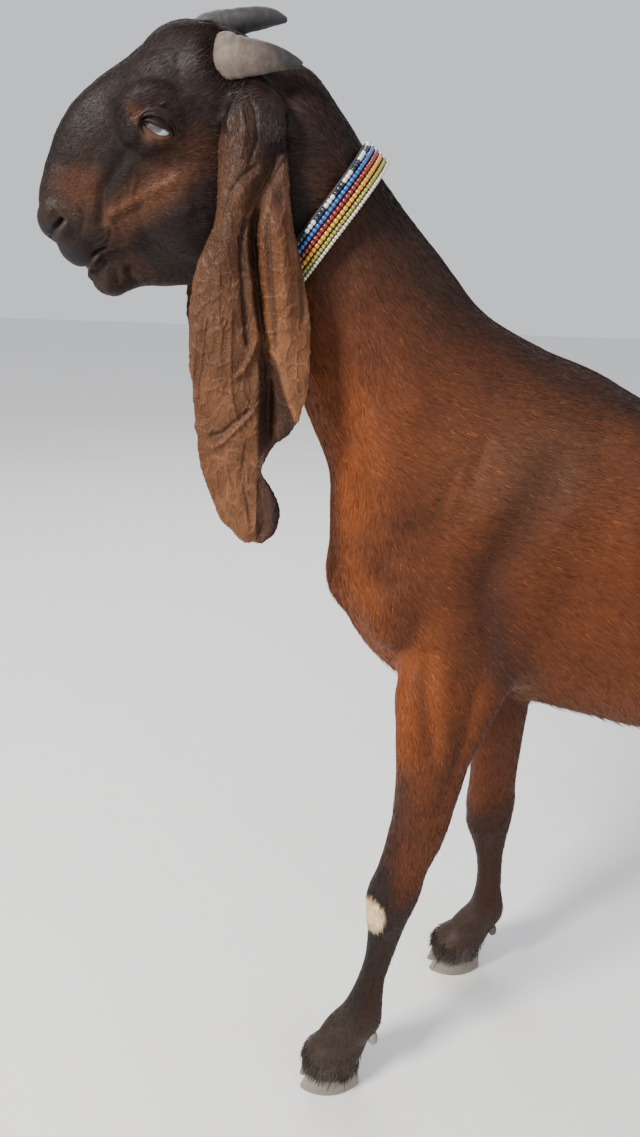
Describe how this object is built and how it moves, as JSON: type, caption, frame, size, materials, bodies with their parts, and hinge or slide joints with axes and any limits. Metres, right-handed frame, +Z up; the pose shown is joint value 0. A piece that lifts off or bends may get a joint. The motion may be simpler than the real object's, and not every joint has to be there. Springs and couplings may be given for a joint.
{
  "type": "goat figure",
  "caption": "Life-size still figure of a standing long-eared beetal goat with convex nose, short swept horns, glossy chestnut coat and a bead collar.",
  "frame": {"origin": "bottom centre of the bounding box, on the floor midway between nose and tail", "axes": "+Z up from the floor, -X the way the goat faces, -Y its left side"},
  "size_m": [1.2862, 0.2982, 1.2984],
  "materials": {
    "chestnut_coat": "short glossy coat",
    "face_coat": "short coat, nearly black on forehead and muzzle",
    "ear_skin": "thin coat over wrinkled skin",
    "horn": "rough horn",
    "dark_horn": "rough horn",
    "wall_eye": "wet gloss",
    "hoof": "worn horn",
    "collar_cloth": "woven",
    "beads_check": "gloss, black and white blocks",
    "beads_blue": "gloss",
    "beads_red": "gloss",
    "beads_yellow": "gloss",
    "beads_green": "gloss",
    "beads_white": "gloss"
  },
  "bodies": {
    "root": {"beads_blue": "beads_blue", "beads_check": "beads_check", "beads_green": "beads_green", "beads_red": "beads_red", "beads_white": "beads_white", "beads_yellow": "beads_yellow", "collar_band": "collar_cloth", "ear_left": "ear_skin", "ear_right": "ear_skin", "eye_left": "wall_eye", "eye_right": "wall_eye", "foreleg_left": "chestnut_coat", "foreleg_left_claw_a": "hoof", "foreleg_left_claw_b": "hoof", "foreleg_left_dewclaw_a": "hoof", "foreleg_left_dewclaw_b": "hoof", "foreleg_right": "chestnut_coat", "foreleg_right_claw_a": "hoof", "foreleg_right_claw_b": "hoof", "foreleg_right_dewclaw_a": "hoof", "foreleg_right_dewclaw_b": "hoof", "head": "face_coat", "hindleg_left": "chestnut_coat", "hindleg_left_claw_a": "hoof", "hindleg_left_claw_b": "hoof", "hindleg_left_dewclaw_a": "hoof", "hindleg_left_dewclaw_b": "hoof", "hindleg_right": "chestnut_coat", "hindleg_right_claw_a": "hoof", "hindleg_right_claw_b": "hoof", "hindleg_right_dewclaw_a": "hoof", "hindleg_right_dewclaw_b": "hoof", "horn_left": "horn", "horn_right": "dark_horn", "neck": "chestnut_coat", "tail": "chestnut_coat", "torso": "chestnut_coat"}
  },
  "joints": []
}
